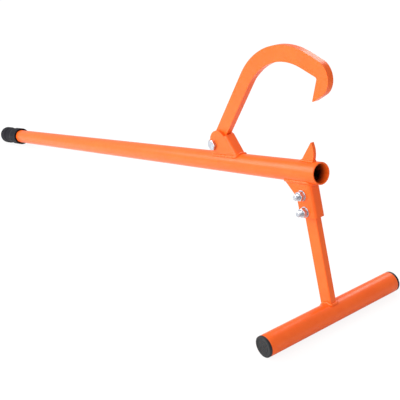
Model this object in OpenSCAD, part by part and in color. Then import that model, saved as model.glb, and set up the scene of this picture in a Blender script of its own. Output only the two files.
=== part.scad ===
// Log lifter: a tubular handle with a rubber grip, a swinging hook, a biting
// spike and a bolted leg on a cross bar. It is drawn standing on the ground,
// resting on the cross bar and on the end of the grip.
// Most sizes are set out square to the handle: +X runs along the handle to its
// open end, +Z is the side that the hook is on, and the origin is the centre
// of the open end. on_ground() then tips that layout onto its feet.

/* [Handle] */
// Outside diameter of the handle tube
tube_d = 32; // [30:0.5:36]
// Wall of the handle tube
tube_wall = 2; // [1.5:0.25:3]
// Length from the open end to the closed end of the grip
handle_len = 1230; // [900:2:1500]

/* [Grip] */
// Length of the rubber grip
grip_len = 110; // [90:1:140]
// Rubber round the tube at the slim middle of the grip
grip_wall = 3.5; // [3:0.25:5]
// Extra radius of the bulb at the closed end
grip_bulb = 1.5; // [0.5:0.25:3]
// Extra radius of the lip at the mouth
grip_lip = 1.4; // [0.4:0.2:3]
// Thickness of the closed end
grip_end = 4; // [3:0.5:7]
// Radius of the closed end's edge
grip_round = 8; // [6:0.5:12]
// Length of the bulb
bulb_len = 30; // [20:1:35]
// Length of each slope between bulb, middle and lip
grip_taper = 10; // [6:1:12]
// Length of the lip
lip_len = 34; // [10:1:36]
// Chamfer inside the mouth
mouth_chamfer = 1.5; // [0.5:0.25:2]

/* [Hook] */
// Thickness of the hook plate
hook_t = 10; // [8:0.5:12]
// Width of the shank
shank_w = 22.75; // [20:0.25:26]
// Edge of the shank behind the pivot, square to the shank
shank_back = 10.5; // [9:0.25:11]
// Length over which the shank narrows to its eye
shank_taper = 12; // [8:1:16]
// Slope of the shank as the hook is drawn, just off its stop
shank_angle = 46; // [43:1:50]
// Distance from the pivot to the start of the crown's bend
shank_len = 145.5; // [130:0.5:170]
// Radius of the outside of the crown
crown_r = 121.5; // [114:0.5:132]
// Width of the hook at the top of the crown
crown_w = 23; // [20:0.5:27]
// Radius of the inside of the crown
crown_inner_r = 97; // [86:1:104]
// Slope of the inside edge where the crown leaves the shank
crown_start = 32; // [28:0.5:36]
// Radius of the inside edge's bend from the shank into the crown
throat_bend_r = 60; // [30:2:90]
// Downward slope of the arm, outside edge
arm_slope = 28; // [24:0.5:31]
// Downward slope of the arm, inside edge
arm_inner_slope = 26.5; // [22:0.5:29]
// Length of the straight arm, outside edge
arm_len = 23; // [12:1:36]
// Radius of the shoulder where the arm turns down into the beak
shoulder_r = 25.5; // [21:0.5:30]
// Beak's inside corner past the centre of the shoulder
beak_inset = 4.5; // [2:0.25:7]
// Radius of that corner
beak_corner_r = 3; // [1:0.5:5]
// Length of the beak's inside edge
beak_len = 34.5; // [28:0.5:40]
// Slope of the beak's inside edge
beak_angle = 65.5; // [60:0.5:72]
// Width of the blunt tip
tip_w = 2.5; // [1:0.5:5]
// Slope of the blunt tip
tip_slope = 3; // [0:1:10]

/* [Hook bracket] */
// Distance of the pivot behind the open end
pivot_back = 232; // [200:1:280]
// Height of the pivot over the crest of the tube
pivot_rise = 14; // [12.5:0.25:15]
// Gauge of the bracket's steel
hook_bracket_t = 4.5; // [3:0.25:5]
// Outside radius of the bends
hook_bend_r = 5; // [5:0.25:6]
// Play between the hook and each cheek
hook_play = 0.5; // [0.4:0.1:1]
// Distance from the pivot to the foot of the web, along the tube
web_reach = 56.75; // [54:0.25:62]
// Backward lean of the web
web_lean = 33; // [30:1:38]
// Full-height strip of the cheeks behind the web
web_strip = 9; // [6:0.5:12]
// Radius of the cheek's big corner
cheek_r = 22; // [20:0.5:24]
// Centre of that corner ahead of the pivot
cheek_ahead = 14.5; // [12:0.5:16]
// Centre of that corner over the pivot
cheek_rise = 1.75; // [0:0.25:3]
// Steel round the pivot hole in the cheeks
eye_margin = 6; // [4:0.25:7]
// Gap between the shank and its stop when the hook is drawn
stop_gap = 1.2; // [0.1:0.1:2.4]

/* [Pivot bolt] */
// Thread diameter
pivot_bolt_d = 10; // [8:0.5:10.5]
// Across the flats of the head and the nut
pivot_hex_af = 16; // [15:0.5:19]
// Height of the head
pivot_head_h = 5; // [4.5:0.1:7]
// Height of the nut
pivot_nut_h = 8; // [7:0.1:9]
// Diameter of the washer
pivot_washer_d = 20; // [18:0.5:22]
// Thickness of the washer
pivot_washer_t = 2; // [1.6:0.1:2.5]
// Length of thread that shows past the nut
pivot_end = 4; // [2:0.5:6]

/* [Spike] */
// Thickness of the spike plate
spike_t = 5; // [4:0.5:7]
// Height of the spike over the crest of the tube
spike_h = 27.5; // [23:0.5:33]
// Length of the spike's foot
spike_base = 23.5; // [20:0.5:28]
// Distance of the spike's front bulge behind the open end
spike_back = 7.5; // [6:0.5:12]
// Radius of the spike's front edge
spike_front_r = 33; // [28:1:40]
// Height of the front bulge, as a share of the spike's height
spike_bulge = 0.58; // [0.5:0.02:0.66]
// Width of the spike's blunt tip
spike_tip = 1.2; // [1:0.2:3]

/* [Leg] */
// Width of the leg, along the handle
leg_w = 22; // [19:0.5:24]
// Thickness of the leg
leg_t = 11; // [9:0.5:13]
// Lean of the leg, foot forward
leg_lean = 3.7; // [1:0.1:6]
// Distance of the leg's line behind the open end, at the tube's axis
leg_back = 33; // [30:1:45]
// Radius of the leg's long edges
leg_edge_r = 1.2; // [0.6:0.1:2]
// Gap between the top of the leg and the tube
leg_top_gap = 3; // [2:0.5:6]

/* [Cross bar] */
// Outside diameter of the cross bar
bar_d = 32; // [28:0.5:36]
// Wall of the cross bar
bar_wall = 2; // [1.5:0.25:3]
// Length of the cross bar over its end plugs
bar_len = 266; // [200:2:340]
// Distance between the axes of the handle and the cross bar
bar_drop = 213; // [180:1:260]
// Axis of the cross bar ahead of the leg's line
bar_ahead = 2.8; // [0:0.2:4]
// Thickness of an end plug's flange
plug_flange = 4; // [3:0.5:6]
// Radius of the flange's edge
plug_round = 1.5; // [0.5:0.25:2.5]
// Depth of an end plug's ribbed shank
plug_depth = 16; // [12:1:24]
// Height of the ribs
plug_rib = 0.9; // [0.6:0.1:1.4]
// Wall of the hollow shank
plug_wall = 2.2; // [1.6:0.2:3]

/* [Leg bracket] */
// Gauge of the bracket's steel
leg_bracket_t = 4.5; // [3:0.25:4.75]
// Outside radius of the bends
leg_bend_r = 5.5; // [5:0.25:6.5]
// Distance from the leg's line to the front of the web
web_front = 16; // [16:0.1:18]
// Distance from the lower bolt to the bottom of the bracket
leg_bracket_below = 9.6; // [9:0.2:18]
// Distance from the leg's line to the cheeks' back edge
cheek_back = 15.3; // [13.5:0.1:17]
// Distance from the leg's line to the back corner at the tube
cheek_top_back = 34; // [30:0.5:38]
// Slope of the cheeks' back edge
cheek_slope = 51; // [46:1:56]
// Radius where that edge turns down along the leg
cheek_fillet = 14; // [8:1:18]
// Radius of the cheeks' bottom back corner
cheek_round = 9; // [6:0.5:12]

/* [Leg bolts] */
// Thread diameter
leg_bolt_d = 8; // [7:0.5:9]
// Across the flats of heads and nuts
leg_hex_af = 13; // [12:0.5:15]
// Height of a head
leg_head_h = 5.3; // [4.5:0.1:6]
// Height of a nut
leg_nut_h = 6.5; // [6:0.1:8]
// Diameter of a washer
leg_washer_d = 16; // [14:0.5:17]
// Thickness of a washer
leg_washer_t = 1.6; // [1.2:0.1:2]
// Length of thread that shows past a nut
leg_bolt_end = 7; // [3:0.5:12]
// Distance from the tube's axis to the upper bolt
leg_bolt_drop = 32.5; // [31:0.5:34]
// Distance between the two bolts
leg_bolt_pitch = 24.4; // [22:0.2:25]
// Distance of the bolts behind the leg's line
leg_bolt_back = 3; // [1:0.25:4]

/* [Fits] */
// Radial clearance of the hook's eye on the pivot bolt
pivot_clear = 0.08; // [0.03:0.01:0.1]
// Radial clearance of the drilled holes round the bolts
hole_clear = 0.25; // [0.15:0.05:0.5]
// Radial clearance of the washers on the bolts
washer_clear = 0.2; // [0.1:0.05:0.4]
// Radial clearance of the nuts on the bolts
thread_clear = 0.05; // [0.03:0.01:0.1]
// Radial clearance of the grip and the plugs on their tubes
fit_gap = 0.05; // [0.03:0.01:0.1]
// Play of the leg on each side between the cheeks
leg_play = 0.05; // [0.03:0.01:0.1]

/* [Welds and edges] */
// Radius of the weld beads round the brackets and the leg
bead_r = 2.4; // [2:0.1:3.5]
// Radius of the weld bead round the spike
spike_bead_r = 2; // [1.5:0.25:3]
// Gap between a bead and the parts that it joins
weld_gap = 0.05; // [0.03:0.01:0.1]
// Chamfer on bolt heads, nuts and bolt ends
bolt_chamfer = 0.8; // [0.4:0.1:1]

/* [Hidden] */
$fn = 96;
// Strip below an arc's chord, as a share of the cap's reach
cap_root = 0.05;

tube_r = tube_d / 2;
bar_r = bar_d / 2;
pivot_bolt_r = pivot_bolt_d / 2;
leg_bolt_r = leg_bolt_d / 2;
grip_r = tube_r + grip_wall;
bulb_r = grip_r + grip_bulb;
pivot_z = tube_r + pivot_rise;
hook_bracket_w = hook_t + 2 * (hook_play + hook_bracket_t);
leg_bracket_w = leg_t + 2 * (leg_play + leg_bracket_t);
leg_bracket_len = leg_bolt_drop + leg_bolt_pitch + leg_bracket_below;
cheek_corner = [cheek_ahead, cheek_rise];
bar_x = bar_ahead - leg_back + bar_drop * tan(leg_lean);
leg_bolt_z = [-leg_bolt_drop, -leg_bolt_drop - leg_bolt_pitch];

// Points and directions in a side view, as [along the handle, up]
function polar(r, a) = [r * cos(a), r * sin(a)];
function turn(p) = [p.x * cos(ground_tilt) - p.y * sin(ground_tilt),
    p.x * sin(ground_tilt) + p.y * cos(ground_tilt)];
// Where a line through p with slope a meets a line through q with slope b
function meet(p, a, q, b) =
    let (d = q - p)
    p + polar((d.x * sin(b) - d.y * cos(b)) / sin(b - a), a);
// Where a line from p touches a circle on its right
function touch(p, c, r) =
    let (d = c - p)
    p + polar(sqrt(norm(d) ^ 2 - r ^ 2), atan2(d.y, d.x) - asin(r / norm(d)));

// The ground touches the rounded end of the grip and the cross bar
grip_foot = [grip_round - handle_len, grip_round - bulb_r];
bar_centre = [bar_x, -bar_drop];
foot_span = bar_centre - grip_foot;
ground_tilt = atan2(-foot_span.y, foot_span.x) + asin((bar_r - grip_round) / norm(foot_span));
grip_top_back = [grip_round - handle_len, bulb_r - grip_round];
ground_back = turn(grip_top_back).x - grip_round;
ground_front = turn(bar_centre).x + bar_r;
ground_shift = [-(ground_back + ground_front) / 2, 0, bar_r - turn(bar_centre).y];

// Outline of the hook, from the pivot
shank_out = polar(shank_back, shank_angle + 90);
shank_in = polar(shank_back - shank_w, shank_angle + 90);
crown_start_out = polar(shank_len, shank_angle) + shank_out;
crown_c = crown_start_out - polar(crown_r, shank_angle + 90);
arm_start = crown_c + polar(crown_r, 90 - arm_slope);
arm_end = arm_start + polar(arm_len, -arm_slope);
shoulder_c = arm_end - polar(shoulder_r, 90 - arm_slope);
inner_c = crown_c + [0, crown_r - crown_w - crown_inner_r];
inner_back = inner_c + polar(crown_inner_r, 90 + crown_start);
inner_front = inner_c + polar(crown_inner_r, 90 - arm_inner_slope);
shank_bend = meet(shank_in, shank_angle, inner_back, crown_start);
beak_corner = meet(inner_front, -arm_inner_slope,
    shoulder_c + polar(beak_inset, -arm_slope), 90 - arm_slope);
tip_in = beak_corner - polar(beak_len, beak_angle);
tip_out = tip_in + polar(tip_w, tip_slope);
beak_back = touch(tip_out, shoulder_c, shoulder_r);
shank_neck = shank_in + polar(shank_taper, shank_angle);
bend_run = throat_bend_r * tan((shank_angle - crown_start) / 2);
bend_from = shank_bend - polar(bend_run, shank_angle);
bend_to = shank_bend + polar(bend_run, crown_start);
bend_c = bend_from + polar(throat_bend_r, shank_angle - 90);
corner_run = beak_corner_r / tan((beak_angle + arm_inner_slope) / 2);
corner_from = beak_corner - polar(corner_run, -arm_inner_slope);
corner_to = beak_corner - polar(corner_run, beak_angle);
corner_c = corner_from + polar(beak_corner_r, -arm_inner_slope - 90);

// The spike's front edge is an arc, widest a little over half way up
spike_front_c = [-spike_back - spike_front_r, tube_r + spike_h * spike_bulge];
spike_foot_x = spike_front_c.x + sqrt(spike_front_r ^ 2 - (spike_h * spike_bulge) ^ 2);

// The web's inner top corner is the shank's stop
web_foot = [web_reach, -pivot_rise];
web_inner = web_foot - polar(hook_bracket_t, web_lean);
web_top = (shank_back - shank_w - stop_gap - web_inner * polar(1, shank_angle + 90))
    / cos(shank_angle - web_lean);

module on_ground() {
    translate(ground_shift) rotate([0, -ground_tilt, 0]) children();
}

module at_pivot() {
    translate([-pivot_back, 0, pivot_z]) children();
}

module at_web() {
    translate([web_foot.x, 0, web_foot.y]) rotate([0, -web_lean, 0]) children();
}

// The leg's own line, from the tube's axis down
module at_leg() {
    translate([-leg_back, 0, 0]) rotate([0, -leg_lean, 0]) children();
}

module at_leg_bolts() {
    for (z = leg_bolt_z)
        at_leg() translate([-leg_bolt_back, 0, z]) children();
}

// A side view stood up as a plate across the handle's middle plane
module plate(t) {
    rotate([90, 0, 0]) linear_extrude(t, center = true) children();
}

// A round bar across the tool
module cross_rod(r, l) {
    rotate([90, 0, 0]) cylinder(h = l, r = r, center = true);
}

module tube_core(extra) {
    translate([-handle_len, 0, 0]) rotate([0, 90, 0]) cylinder(h = handle_len + bead_r, r = tube_r + extra);
}

module bar_core(extra) {
    translate([bar_x, 0, -bar_drop]) cross_rod(bar_r + extra, bar_len);
}

// The part of a circle beyond its chord from p to q, with a strip below the chord
// that overlaps what the arc is joined to
module arc_cap(c, r, p, q) {
    along = (q - p) / norm(q - p) * 3 * r;
    out = [-along.y, along.x];
    root = out * cap_root;
    intersection() {
        translate(c) circle(r);
        polygon([p - along - root, p - along + out, q + along + out, q + along - root]);
    }
}

// Section of a bent channel: front face at x = 0, rounded front corners
module channel_face(depth, w, r) {
    translate([-depth, -w / 2]) square([depth - r, w]);
    translate([-depth, r - w / 2]) square([depth, w - 2 * r]);
    for (s = [-1, 1])
        translate([-r, s * (w / 2 - r)]) circle(r);
}

module channel_section(depth, w, t, r) {
    difference() {
        channel_face(depth, w, r);
        translate([-t, 0]) channel_face(depth, w - 2 * t, max(r - t, 0.3));
    }
}

// A hexagon of width af across its flats, chamfered at its top
module hex_prism(h, af) {
    across = af / cos(30);
    intersection() {
        cylinder(h = h, d = across, $fn = 6);
        union() {
            cylinder(h = h - bolt_chamfer, d = across + 1);
            translate([0, 0, h - bolt_chamfer])
                cylinder(h = bolt_chamfer, d1 = across, d2 = across - 3 * bolt_chamfer);
        }
    }
}

// A bolt along +Z whose head seats at z = 0
module bolt(r, l, head_h, af) {
    mirror([0, 0, 1]) hex_prism(head_h, af);
    cylinder(h = l - bolt_chamfer, r = r);
    translate([0, 0, l - bolt_chamfer])
        cylinder(h = bolt_chamfer, r1 = r, r2 = r - bolt_chamfer);
}

module nut(r, h, af) {
    difference() {
        hex_prism(h, af);
        translate([0, 0, -1]) cylinder(h = h + 2, r = r + thread_clear);
    }
}

module washer(r, d, t) {
    difference() {
        cylinder(h = t, d = d);
        translate([0, 0, -1]) cylinder(h = t + 2, r = r + washer_clear);
    }
}

module handle_tube() {
    color([1, 0.42, 0.16])
    difference() {
        translate([grip_end - handle_len, 0, 0])
            rotate([0, 90, 0]) cylinder(h = handle_len - grip_end, r = tube_r);
        translate([-handle_len, 0, 0])
            rotate([0, 90, 0]) cylinder(h = handle_len + 1, r = tube_r - tube_wall);
    }
}

// Outline of the grip as [radius, distance from the closed end]
module grip_profile() {
    lip_r = grip_r + grip_lip;
    difference() {
        union() {
            square([bulb_r - grip_round, grip_round]);
            translate([bulb_r - grip_round, grip_round]) intersection() {
                circle(grip_round);
                translate([0, -grip_round]) square(grip_round);
            }
            polygon([
                [0, grip_round], [bulb_r, grip_round], [bulb_r, bulb_len],
                [grip_r, bulb_len + grip_taper], [grip_r, grip_len - lip_len - grip_taper],
                [lip_r, grip_len - lip_len], [lip_r, grip_len], [0, grip_len]]);
        }
        translate([0, grip_end]) square([tube_r + fit_gap, grip_len]);
        polygon([
            [0, grip_len - mouth_chamfer], [tube_r + fit_gap, grip_len - mouth_chamfer],
            [tube_r + fit_gap + mouth_chamfer + 1, grip_len + 1], [0, grip_len + 1]]);
    }
}

module handle_grip() {
    color([0.17, 0.17, 0.19])
    translate([-handle_len, 0, 0]) rotate([0, 90, 0]) rotate_extrude() grip_profile();
}

// The hook with its throat filled in
module hook_blank() {
    plate(hook_t) polygon([shank_out, crown_start_out, arm_start, arm_end, beak_back,
        tip_out, tip_in, shank_neck, -shank_out]);
    plate(hook_t) arc_cap([0, 0], shank_back, -shank_out, shank_out);
    plate(hook_t) arc_cap(crown_c, crown_r, crown_start_out, arm_start);
    plate(hook_t) arc_cap(shoulder_c, shoulder_r, arm_end, beak_back);
}

module hook_throat() {
    plate(hook_t + 2) polygon([shank_neck, bend_from, bend_to, inner_back, inner_front,
        corner_from, corner_to, tip_in, [tip_in.x, -crown_r], [shank_neck.x, -crown_r]]);
    plate(hook_t + 2) arc_cap(bend_c, throat_bend_r, bend_from, bend_to);
    plate(hook_t + 2) arc_cap(corner_c, beak_corner_r, corner_from, corner_to);
    plate(hook_t + 2) arc_cap(inner_c, crown_inner_r, inner_back, inner_front);
}

module hook() {
    color([1, 0.42, 0.16])
    at_pivot() difference() {
        hook_blank();
        hook_throat();
        cross_rod(pivot_bolt_r + pivot_clear, hook_t + 2);
    }
}

// The cheeks' side view, as wide as the whole bracket
module hook_bracket_side() {
    w = hook_bracket_w + 1;
    back = cheek_corner - [cheek_r, 0];
    edge = cheek_corner + polar(cheek_r, shank_angle);
    far = edge + polar(web_reach, shank_angle - 90);
    plate(w) polygon([[back.x, -pivot_z], back, edge, far, [far.x + tube_d, -pivot_z]]);
    plate(w) arc_cap(cheek_corner, cheek_r, back, edge);
    cross_rod(pivot_bolt_r + eye_margin, w);
    at_web() translate([-web_strip, -w / 2, -tube_r])
        cube([web_strip + hook_bend_r, w, tube_r + web_top]);
}

module hook_bracket_channel(extra) {
    at_web() translate([extra, 0, -tube_d]) linear_extrude(2 * tube_d + web_top) children();
}

module hook_bracket() {
    color([1, 0.42, 0.16])
    difference() {
        at_pivot() intersection() {
            hook_bracket_channel(0)
                channel_section(pivot_back, hook_bracket_w, hook_bracket_t, hook_bend_r);
            hook_bracket_side();
        }
        at_pivot() cross_rod(pivot_bolt_r + hole_clear, hook_bracket_w + 2);
        tube_core(0);
    }
}

// A U-shaped bead round a channel's foot: two runs along the tube, one across.
// x0 is the channel's back end and x1 its front, both at the tube's surface.
module bead_round_channel(x0, x1, w, across_z) {
    side_z = sqrt(tube_r ^ 2 - (w / 2) ^ 2);
    for (s = [-1, 1]) {
        translate([x0, s * w / 2, side_z]) rotate([0, 90, 0]) cylinder(h = x1 - x0, r = bead_r);
        translate([x0, s * w / 2, side_z]) sphere(bead_r);
        translate([x1, s * w / 2, side_z]) sphere(bead_r);
    }
    translate([x1, 0, across_z]) cross_rod(bead_r, w);
}

module hook_bracket_weld() {
    color([0.97, 0.38, 0.13])
    difference() {
        bead_round_channel(cheek_corner.x - cheek_r - pivot_back, web_reach - pivot_back,
            hook_bracket_w, tube_r);
        at_pivot() hook_bracket_channel(weld_gap)
            channel_face(pivot_back, hook_bracket_w + 2 * weld_gap, hook_bend_r + weld_gap);
        tube_core(weld_gap);
    }
}

module at_pivot_bolt() {
    at_pivot() translate([0, -hook_bracket_w / 2, 0]) rotate([-90, 0, 0]) children();
}

module pivot_bolt() {
    color([0.8, 0.81, 0.83])
    at_pivot_bolt() bolt(pivot_bolt_r, hook_bracket_w + pivot_washer_t + pivot_nut_h + pivot_end,
        pivot_head_h, pivot_hex_af);
}

module pivot_washer() {
    color([0.8, 0.81, 0.83])
    at_pivot_bolt() translate([0, 0, hook_bracket_w])
        washer(pivot_bolt_r, pivot_washer_d, pivot_washer_t);
}

module pivot_nut() {
    color([0.8, 0.81, 0.83])
    at_pivot_bolt() translate([0, 0, hook_bracket_w + pivot_washer_t])
        nut(pivot_bolt_r, pivot_nut_h, pivot_hex_af);
}

module spike_profile() {
    top = tube_r + spike_h;
    tip_x = spike_front_c.x + sqrt(spike_front_r ^ 2 - (top - spike_front_c.y) ^ 2);
    intersection() {
        translate(spike_front_c) circle(spike_front_r);
        polygon([[spike_foot_x - spike_base, 0], [spike_foot_x - spike_base, tube_r],
            [tip_x - spike_tip, top], [0, top], [0, 0]]);
    }
}

module spike() {
    color([1, 0.42, 0.16])
    difference() {
        plate(spike_t) spike_profile();
        tube_core(0);
    }
}

module spike_weld() {
    color([0.97, 0.38, 0.13])
    difference() {
        intersection() {
            tube_core(spike_bead_r);
            linear_extrude(tube_d) union() {
                translate([spike_foot_x - spike_base, -spike_t / 2 - spike_bead_r])
                    square([spike_base, spike_t + 2 * spike_bead_r]);
                for (x = [spike_foot_x - spike_base, spike_foot_x])
                    translate([x, 0]) circle(spike_t / 2 + spike_bead_r);
            }
        }
        plate(spike_t + 2 * weld_gap) spike_profile();
        tube_core(weld_gap);
    }
}

module leg_bracket_profile() {
    top_corner = [-cheek_top_back, -sqrt(tube_r ^ 2 - (leg_bracket_w / 2) ^ 2)];
    bend = meet(top_corner, -cheek_slope, [-cheek_back, 0], 90);
    run = cheek_fillet * tan((90 - cheek_slope) / 2);
    before = bend - polar(run, -cheek_slope);
    after = bend - [0, run];
    round_x = cheek_round - cheek_back;
    round_z = cheek_round - leg_bracket_len;
    polygon([[web_front, 0], [-cheek_top_back, 0], top_corner, before, after,
        [-cheek_back, round_z], [round_x, -leg_bracket_len], [web_front, -leg_bracket_len]]);
    difference() {
        polygon([before, bend, after]);
        translate(after - [cheek_fillet, 0]) circle(cheek_fillet);
    }
    translate([round_x, round_z]) circle(cheek_round);
}

module leg_bracket_channel(extra) {
    at_leg() translate([web_front + extra, 0, -leg_bracket_len])
        linear_extrude(leg_bracket_len + tube_r) children();
}

module leg_bracket() {
    color([1, 0.42, 0.16])
    difference() {
        intersection() {
            leg_bracket_channel(0)
                channel_section(web_front + cheek_top_back + tube_d, leg_bracket_w, leg_bracket_t,
                    leg_bend_r);
            at_leg() plate(leg_bracket_w + 1) leg_bracket_profile();
        }
        tube_core(0);
        at_leg_bolts() cross_rod(leg_bolt_r + hole_clear, leg_bracket_w + 2);
    }
}

module leg_bracket_weld() {
    side_z = sqrt(tube_r ^ 2 - (leg_bracket_w / 2) ^ 2);
    front = web_front - leg_back + side_z * sin(leg_lean);
    color([0.97, 0.38, 0.13])
    difference() {
        mirror([0, 0, 1])
            bead_round_channel(-leg_back - cheek_top_back, front, leg_bracket_w, tube_r);
        leg_bracket_channel(weld_gap)
            channel_face(web_front + cheek_top_back + tube_d, leg_bracket_w + 2 * weld_gap,
                leg_bend_r + weld_gap);
        tube_core(weld_gap);
    }
}

// The leg's bar, from the tube's axis to past the cross bar
module leg_bar(extra) {
    w = leg_w + 2 * extra;
    t = leg_t + 2 * extra;
    r = leg_edge_r + extra;
    at_leg() translate([0, 0, -bar_drop - bar_r]) linear_extrude(bar_drop + bar_r) union() {
        square([w - 2 * r, t], center = true);
        square([w, t - 2 * r], center = true);
        for (x = [-1, 1], y = [-1, 1])
            translate([x * (w / 2 - r), y * (t / 2 - r)]) circle(r);
    }
}

module leg() {
    color([1, 0.42, 0.16])
    difference() {
        intersection() {
            leg_bar(0);
            at_leg() translate([-leg_w, -leg_t, -bar_drop])
                cube([2 * leg_w, 2 * leg_t, bar_drop - tube_r - leg_top_gap]);
        }
        bar_core(0);
        at_leg_bolts() cross_rod(leg_bolt_r + hole_clear, leg_t + 2);
    }
}

module leg_weld() {
    color([0.97, 0.38, 0.13])
    difference() {
        intersection() {
            leg_bar(bead_r);
            bar_core(bead_r);
            translate([bar_x - bar_d, -bar_r, -bar_drop]) cube([2 * bar_d, bar_d, bar_d]);
        }
        leg_bar(weld_gap);
        bar_core(weld_gap);
    }
}

module at_leg_bolt_heads() {
    at_leg_bolts() translate([0, leg_bracket_w / 2 + leg_washer_t, 0]) rotate([90, 0, 0]) children();
}

module leg_bolts() {
    color([0.8, 0.81, 0.83])
    at_leg_bolt_heads() bolt(leg_bolt_r, leg_bracket_w + 2 * leg_washer_t + leg_nut_h + leg_bolt_end,
        leg_head_h, leg_hex_af);
}

module leg_washers() {
    color([0.8, 0.81, 0.83])
    at_leg_bolt_heads() for (z = [0, leg_washer_t + leg_bracket_w])
        translate([0, 0, z]) washer(leg_bolt_r, leg_washer_d, leg_washer_t);
}

module leg_nuts() {
    color([0.8, 0.81, 0.83])
    at_leg_bolt_heads() translate([0, 0, leg_bracket_w + 2 * leg_washer_t])
        nut(leg_bolt_r, leg_nut_h, leg_hex_af);
}

module cross_bar() {
    tube_len = bar_len - 2 * plug_flange;
    color([1, 0.42, 0.16])
    translate([bar_x, 0, -bar_drop]) difference() {
        cross_rod(bar_r, tube_len);
        cross_rod(bar_r - bar_wall, tube_len + 2);
    }
}

// A ribbed plug along +Z: flange from z = 0 up, shank below
module bar_plug() {
    bore_r = bar_r - bar_wall - fit_gap;
    flange_r = bar_r - fit_gap;
    difference() {
        union() {
            rotate_extrude() {
                square([flange_r - plug_round, plug_flange]);
                square([flange_r, plug_flange - plug_round]);
                translate([flange_r - plug_round, plug_flange - plug_round]) circle(plug_round);
            }
            translate([0, 0, -plug_depth]) cylinder(h = plug_depth, r = bore_r - plug_rib);
            for (i = [0.2, 0.5, 0.8])
                translate([0, 0, -plug_depth * i]) cylinder(h = plug_rib, r = bore_r);
        }
        translate([0, 0, -plug_depth - 1])
            cylinder(h = plug_depth, r = bore_r - plug_rib - plug_wall);
    }
}

// The plug on one end: side is 1 on the left, seen from behind the grip
module bar_plug_at(side) {
    color([0.2, 0.2, 0.22])
    translate([bar_x, side * (bar_len / 2 - plug_flange), -bar_drop])
        rotate([-90 * side, 0, 0]) bar_plug();
}

on_ground() handle_tube();
on_ground() handle_grip();
on_ground() hook();
on_ground() hook_bracket();
on_ground() hook_bracket_weld();
on_ground() pivot_bolt();
on_ground() pivot_nut();
on_ground() pivot_washer();
on_ground() spike();
on_ground() spike_weld();
on_ground() leg_bracket();
on_ground() leg_bracket_weld();
on_ground() leg_bolts();
on_ground() leg_nuts();
on_ground() leg_washers();
on_ground() leg();
on_ground() leg_weld();
on_ground() cross_bar();
on_ground() bar_plug_at(1);  // bar_plug_left
on_ground() bar_plug_at(-1);  // bar_plug_right
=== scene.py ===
from math import cos, hypot, pi, radians, sin, sqrt, tan, tau

import bmesh
import bpy
from mathutils import Matrix, Vector


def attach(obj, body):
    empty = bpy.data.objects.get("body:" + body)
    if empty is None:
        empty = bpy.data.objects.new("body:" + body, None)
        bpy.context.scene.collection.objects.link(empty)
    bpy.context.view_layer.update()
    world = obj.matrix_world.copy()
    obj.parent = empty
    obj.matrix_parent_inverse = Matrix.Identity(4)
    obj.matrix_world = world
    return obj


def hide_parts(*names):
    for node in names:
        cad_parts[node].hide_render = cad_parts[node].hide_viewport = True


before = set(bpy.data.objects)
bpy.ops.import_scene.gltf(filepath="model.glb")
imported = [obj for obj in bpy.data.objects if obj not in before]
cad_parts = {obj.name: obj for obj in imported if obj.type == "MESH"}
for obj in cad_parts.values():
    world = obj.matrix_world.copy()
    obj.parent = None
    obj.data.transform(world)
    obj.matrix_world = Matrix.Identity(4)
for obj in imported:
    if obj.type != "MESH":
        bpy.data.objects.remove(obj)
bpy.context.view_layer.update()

# The studio: a camera at the photograph's angle, a pale floor, and soft light from
# big panels. The floor and the room look white to the camera, and the floor keeps
# the tool's shadow.
lens = bpy.data.cameras.new("camera")
lens.lens = 64.35
lens.clip_end = 50.0
camera = bpy.data.objects.new("camera", lens)
camera.location = (1.24556, -0.65706, 0.59097)
camera.rotation_euler = [radians(a) for a in (66.9197, 3.9884, 53.7519)]
bpy.context.scene.collection.objects.link(camera)
bpy.context.scene.camera = camera
bpy.context.scene.view_settings.view_transform = "Standard"


def add_node(tree, kind, inputs=(), **settings):
    """A node with its settings, and the values or links of its sockets."""
    node = tree.nodes.new(kind)
    for key, value in settings.items():
        setattr(node, key, value)
    for socket, value in dict(inputs).items():
        if isinstance(value, bpy.types.NodeSocket):
            tree.links.new(value, node.inputs[socket])
        else:
            node.inputs[socket].default_value = value
    return node


def white_to_camera(tree, seen, lit):
    """Shows one shader to the camera, and the other to the rest."""
    ray = add_node(tree, "ShaderNodeLightPath")
    return add_node(tree, "ShaderNodeMixShader", {0: ray.outputs["Is Camera Ray"], 1: lit,
        2: seen}).outputs[0]


room = bpy.data.worlds.new("room")
bpy.context.scene.world = room
room.use_nodes = True
room.node_tree.nodes.clear()
white = (1, 1, 1, 1)
room_seen = add_node(room.node_tree, "ShaderNodeBackground", {"Color": white, "Strength": 1.0})
room_lit = add_node(room.node_tree, "ShaderNodeBackground", {"Color": white, "Strength": 0.57})
add_node(room.node_tree, "ShaderNodeOutputWorld", {"Surface": white_to_camera(
    room.node_tree, room_seen.outputs[0], room_lit.outputs[0])})

paper = bpy.data.materials.new("floor_paper")
paper.use_nodes = True
paper_tree = paper.node_tree
paper_tree.nodes.clear()
paper_lit = add_node(paper_tree, "ShaderNodeBsdfDiffuse", {"Color": (0.8, 0.8, 0.8, 1)})
paper_shade = add_node(paper_tree, "ShaderNodeBsdfDiffuse", {"Color": (0.14, 0.14, 0.14, 1)})
paper_place = add_node(paper_tree, "ShaderNodeTexCoord").outputs["Object"]
paper_far = add_node(paper_tree, "ShaderNodeVectorMath", {0: paper_place}, operation="LENGTH")
paper_level = add_node(paper_tree, "ShaderNodeMapRange", {"Value": paper_far.outputs["Value"],
    "From Min": 0.8, "From Max": 2.6, "To Min": 0.88, "To Max": 0.97})
paper_glow = add_node(paper_tree, "ShaderNodeEmission", {"Color": white,
    "Strength": paper_level.outputs["Result"]})
paper_seen = add_node(paper_tree, "ShaderNodeAddShader", {0: paper_shade.outputs[0],
    1: paper_glow.outputs[0]})
add_node(paper_tree, "ShaderNodeOutputMaterial", {"Surface": white_to_camera(
    paper_tree, paper_seen.outputs[0], paper_lit.outputs[0])})
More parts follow.
